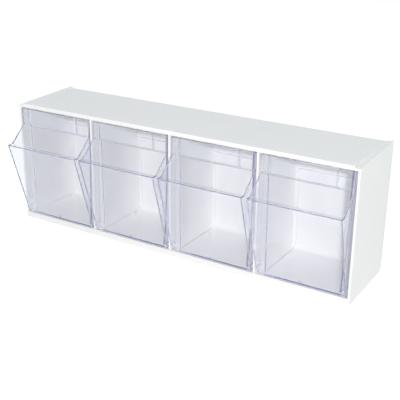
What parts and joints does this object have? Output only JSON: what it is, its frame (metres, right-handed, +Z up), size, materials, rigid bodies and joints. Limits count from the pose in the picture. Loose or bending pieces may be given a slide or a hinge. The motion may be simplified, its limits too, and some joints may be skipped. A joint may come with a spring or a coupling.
{
  "type": "tilt-out bin cabinet",
  "caption": "Low white plastic counter cabinet with a row of clear tilt-out bins, each with a label band, a pull lip and a slanted front.",
  "frame": {"origin": "on the surface the cabinet stands on, under the middle of the whole object with its lips", "axes": "+X to the right along the row of bins, +Y from the pull lips towards the back panel, +Z up"},
  "size_m": [0.6, 0.168, 0.2076],
  "materials": {
    "housing": "satin moulded white polystyrene",
    "clear_bin": "clear moulded polystyrene, faintly blue",
    "clear_cover": "clear sheet plastic"
  },
  "bodies": {
    "housing": {"top_panel": "housing", "base_panel": "housing", "back_panel": "housing", "left_end_panel": "housing", "right_end_panel": "housing", "divider_1": "housing", "divider_2": "housing", "divider_3": "housing"},
    "tilt_bin_1": {"bin_1": "clear_bin", "label_cover_1": "clear_cover"},
    "tilt_bin_2": {"bin_2": "clear_bin", "label_cover_2": "clear_cover"},
    "tilt_bin_3": {"bin_3": "clear_bin", "label_cover_3": "clear_cover"},
    "tilt_bin_4": {"bin_4": "clear_bin", "label_cover_4": "clear_cover"}
  },
  "joints": [
    {"name": "bin_1_tilt", "type": "hinge", "parent": "housing", "child": "tilt_bin_1", "pos_m": [-0.2238, -0.038, 0.025], "axis": [1, 0, 0], "range_deg": [0, 45]},
    {"name": "bin_2_tilt", "type": "hinge", "parent": "housing", "child": "tilt_bin_2", "pos_m": [-0.0746, -0.038, 0.025], "axis": [1, 0, 0], "range_deg": [0, 45]},
    {"name": "bin_3_tilt", "type": "hinge", "parent": "housing", "child": "tilt_bin_3", "pos_m": [0.0746, -0.038, 0.025], "axis": [1, 0, 0], "range_deg": [0, 45]},
    {"name": "bin_4_tilt", "type": "hinge", "parent": "housing", "child": "tilt_bin_4", "pos_m": [0.2238, -0.038, 0.025], "axis": [1, 0, 0], "range_deg": [0, 45]}
  ]
}
